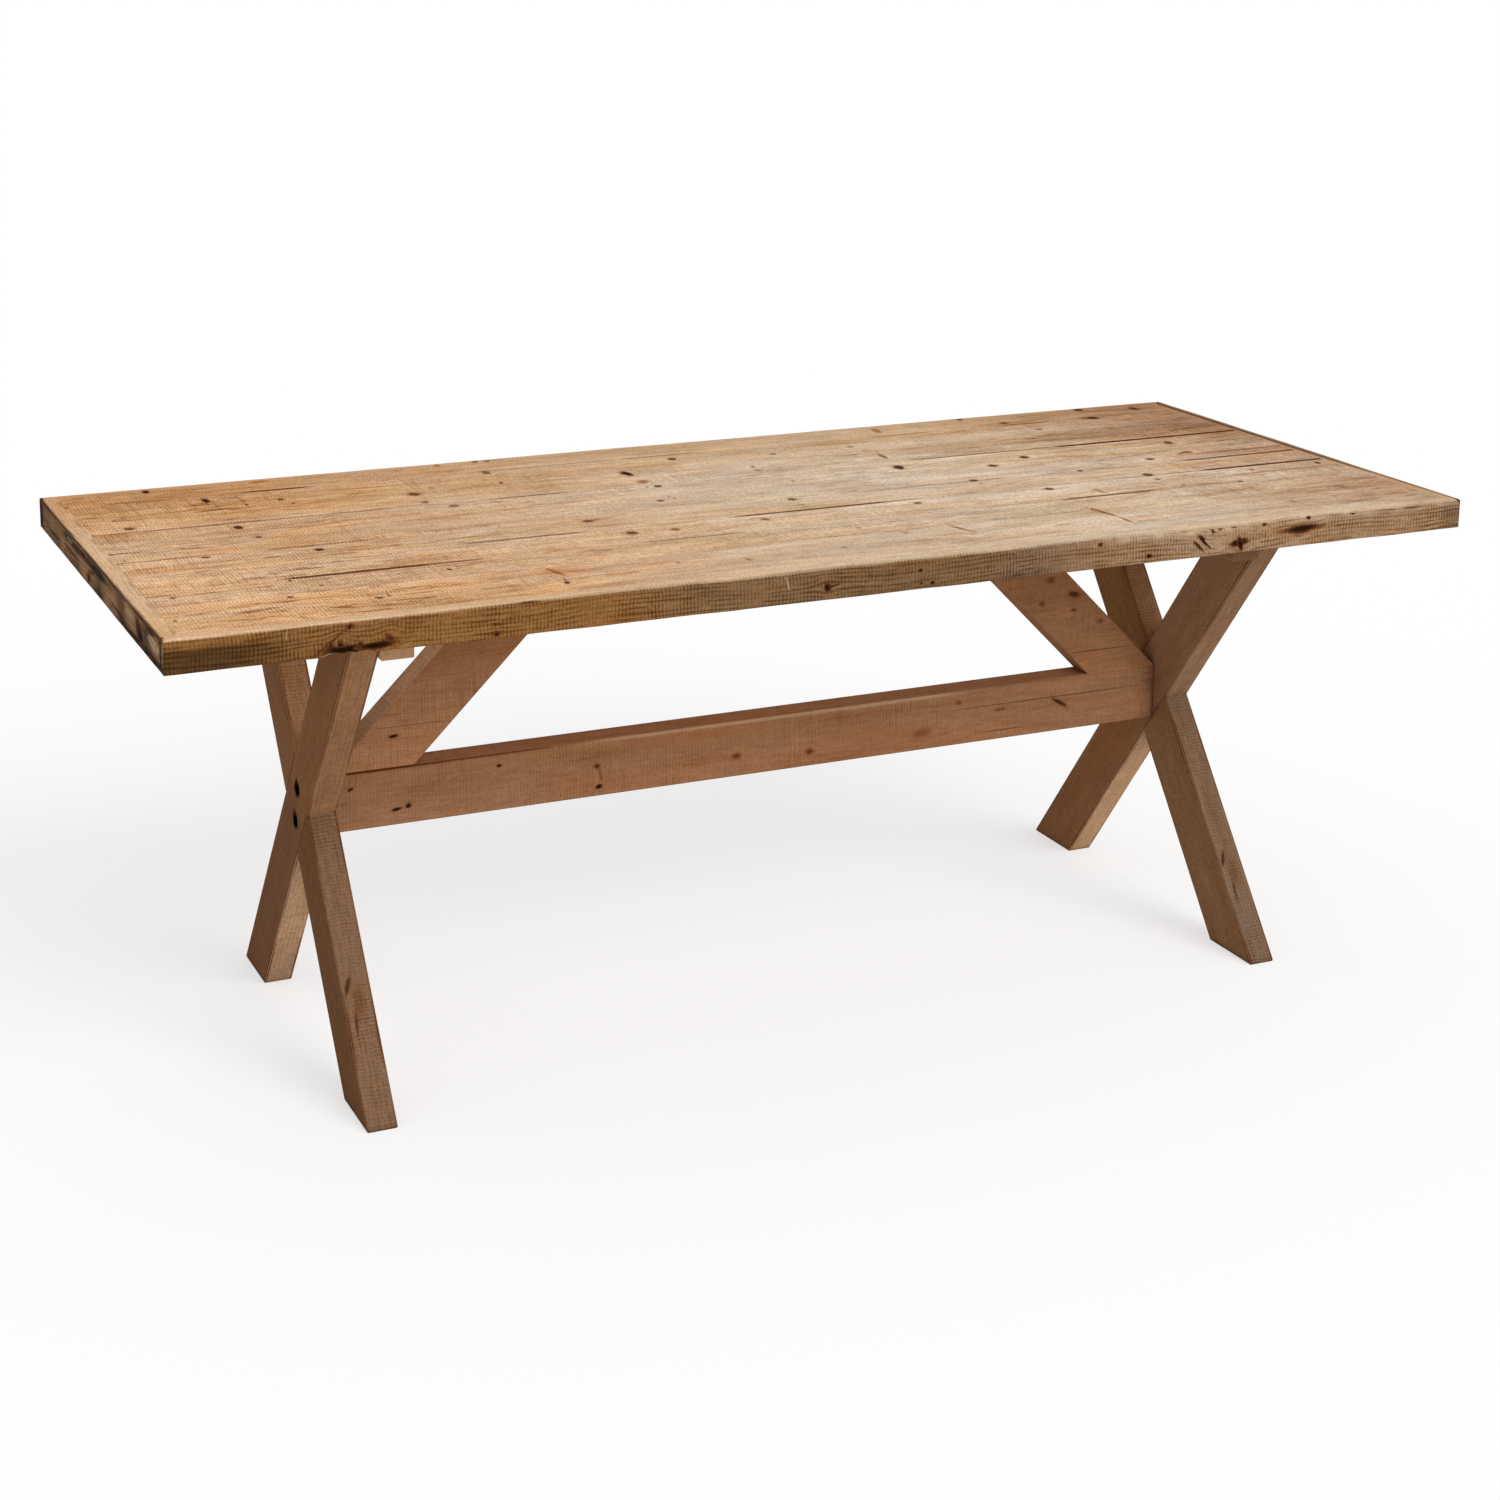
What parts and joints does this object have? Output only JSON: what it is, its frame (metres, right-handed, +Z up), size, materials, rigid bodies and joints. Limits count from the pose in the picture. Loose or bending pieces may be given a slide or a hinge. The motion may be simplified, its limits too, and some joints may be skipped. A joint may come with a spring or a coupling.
{
  "type": "sawbuck table",
  "caption": "Planked dining table on half-lapped crossed-leg trestles, with a mitred frame round the top, a stretcher and sloping braces.",
  "frame": {"origin": "middle of the table's outline, on the floor under it", "axes": "+X along the table's length to the right, -Y towards the front, +Z up"},
  "size_m": [2.02, 0.83, 0.76],
  "materials": {
    "plank_wood": "reclaimed softwood, oiled, with knots and saw marks",
    "frame_wood": "reclaimed softwood, weathered and worn at the arris",
    "batten_wood": "planed softwood, bare",
    "cleat_wood": "planed softwood, bare",
    "leg_wood": "stained softwood, satin",
    "brace_wood": "stained softwood, satin, reddish brown",
    "stretcher_wood": "stained softwood, satin, reddish brown",
    "dowel_wood": "turned hardwood, bare",
    "black_steel": "black, semi-matt",
    "screw_steel": "zinc plated"
  },
  "bodies": {
    "root": {"top_plank_1": "plank_wood", "top_plank_2": "plank_wood", "top_plank_3": "plank_wood", "top_plank_4": "plank_wood", "top_plank_5": "plank_wood", "top_plank_6": "plank_wood", "top_plank_7": "plank_wood", "frame_board_front": "frame_wood", "frame_board_right": "frame_wood", "frame_board_back": "frame_wood", "frame_board_left": "frame_wood", "batten_left_trestle": "batten_wood", "batten_left_brace": "batten_wood", "batten_right_trestle": "batten_wood", "batten_right_brace": "batten_wood", "batten_middle": "batten_wood", "leg_left_a": "leg_wood", "leg_left_b": "leg_wood", "rail_cleat_left": "cleat_wood", "brace_left": "brace_wood", "brace_cleat_left": "cleat_wood", "leg_right_a": "leg_wood", "leg_right_b": "leg_wood", "rail_cleat_right": "cleat_wood", "brace_right": "brace_wood", "brace_cleat_right": "cleat_wood", "stretcher": "stretcher_wood", "batten_screws": "screw_steel", "cleat_screws": "screw_steel", "brace_screws": "screw_steel", "lag_screws": "black_steel", "lag_washers": "black_steel", "stretcher_bolts": "black_steel", "bolt_washers": "black_steel", "barrel_nuts": "screw_steel", "brace_dowels": "dowel_wood", "frame_dowels": "dowel_wood"}
  },
  "joints": []
}
